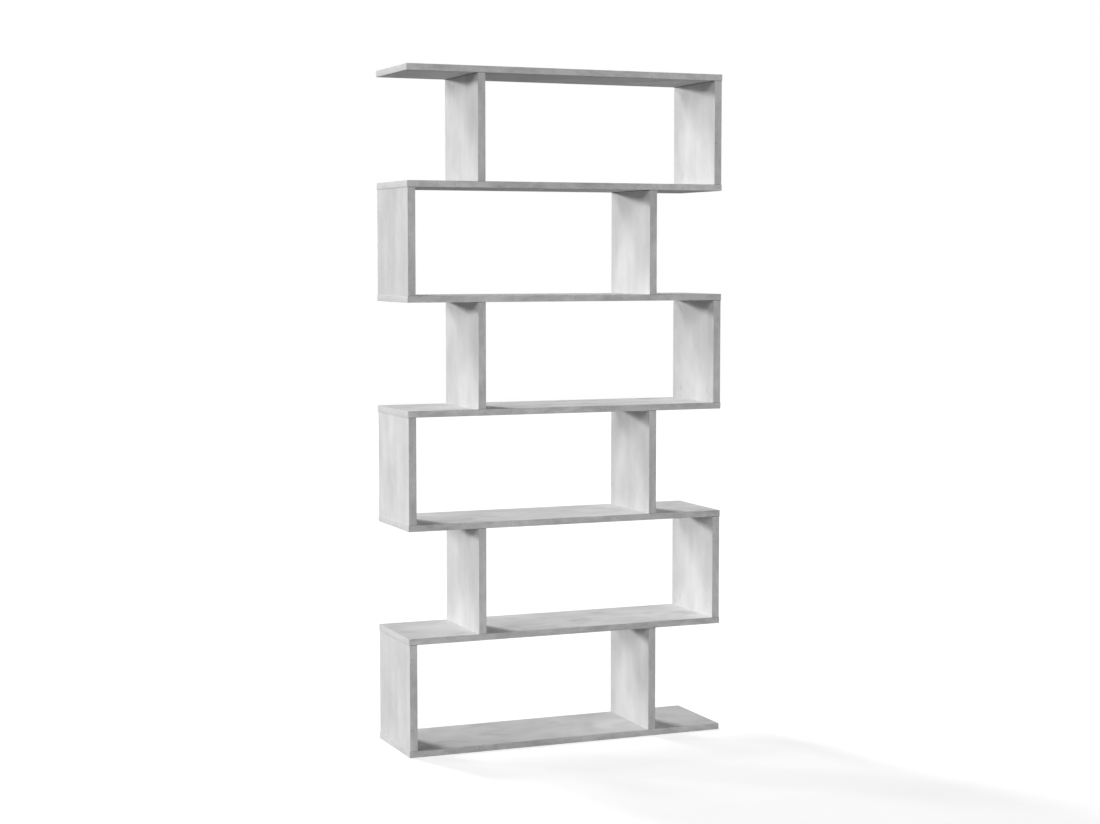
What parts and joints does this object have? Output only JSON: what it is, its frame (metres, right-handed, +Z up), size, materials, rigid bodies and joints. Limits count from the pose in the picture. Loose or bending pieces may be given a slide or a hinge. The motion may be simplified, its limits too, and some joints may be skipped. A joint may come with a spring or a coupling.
{
  "type": "zigzag bookshelf",
  "caption": "Tall open zigzag bookshelf: full-length shelves on pairs of uprights that shift from one end to the other tier by tier, joined with hidden dowels and cams.",
  "frame": {"origin": "on the floor, under the middle of the bottom shelf", "axes": "+Z up, X along the shelves with the bottom tier's end panel at -X, Y through the shelf with the pictured front at -Y"},
  "size_m": [0.963, 0.27, 1.92],
  "materials": {
    "melamine_shelf": "melamine-faced chipboard, light grey concrete print running along the shelf",
    "melamine_upright": "melamine-faced chipboard, light grey concrete print running up the board",
    "edge_band": "matt grey printed ABS edge band",
    "beech_dowel": "plain beech",
    "zinc_plated_steel": "bright zinc plating",
    "zinc_die_casting": "bare zinc die casting",
    "cover_disc": "matt printed film in the boards' colour"
  },
  "bodies": {
    "root": {"shelf_1_bottom": "melamine_shelf", "shelf_1_edge_bands": "edge_band", "shelf_2": "melamine_shelf", "shelf_2_edge_bands": "edge_band", "shelf_3": "melamine_shelf", "shelf_3_edge_bands": "edge_band", "shelf_4": "melamine_shelf", "shelf_4_edge_bands": "edge_band", "shelf_5": "melamine_shelf", "shelf_5_edge_bands": "edge_band", "shelf_6": "melamine_shelf", "shelf_6_edge_bands": "edge_band", "shelf_7_edge_bands": "edge_band", "shelf_7_top": "melamine_shelf", "tier_1_cam_bolts": "zinc_plated_steel", "tier_1_cams": "zinc_die_casting", "tier_1_cover_discs": "cover_disc", "tier_1_dowels": "beech_dowel", "tier_1_edge_bands": "edge_band", "tier_1_left_end_panel": "melamine_upright", "tier_1_right_upright": "melamine_upright", "tier_2_cam_bolts": "zinc_plated_steel", "tier_2_cams": "zinc_die_casting", "tier_2_cover_discs": "cover_disc", "tier_2_dowels": "beech_dowel", "tier_2_edge_bands": "edge_band", "tier_2_left_upright": "melamine_upright", "tier_2_right_end_panel": "melamine_upright", "tier_3_cam_bolts": "zinc_plated_steel", "tier_3_cams": "zinc_die_casting", "tier_3_cover_discs": "cover_disc", "tier_3_dowels": "beech_dowel", "tier_3_edge_bands": "edge_band", "tier_3_left_end_panel": "melamine_upright", "tier_3_right_upright": "melamine_upright", "tier_4_cam_bolts": "zinc_plated_steel", "tier_4_cams": "zinc_die_casting", "tier_4_cover_discs": "cover_disc", "tier_4_dowels": "beech_dowel", "tier_4_edge_bands": "edge_band", "tier_4_left_upright": "melamine_upright", "tier_4_right_end_panel": "melamine_upright", "tier_5_cam_bolts": "zinc_plated_steel", "tier_5_cams": "zinc_die_casting", "tier_5_cover_discs": "cover_disc", "tier_5_dowels": "beech_dowel", "tier_5_edge_bands": "edge_band", "tier_5_left_end_panel": "melamine_upright", "tier_5_right_upright": "melamine_upright", "tier_6_cam_bolts": "zinc_plated_steel", "tier_6_cams": "zinc_die_casting", "tier_6_cover_discs": "cover_disc", "tier_6_dowels": "beech_dowel", "tier_6_edge_bands": "edge_band", "tier_6_left_upright": "melamine_upright", "tier_6_right_end_panel": "melamine_upright"}
  },
  "joints": []
}
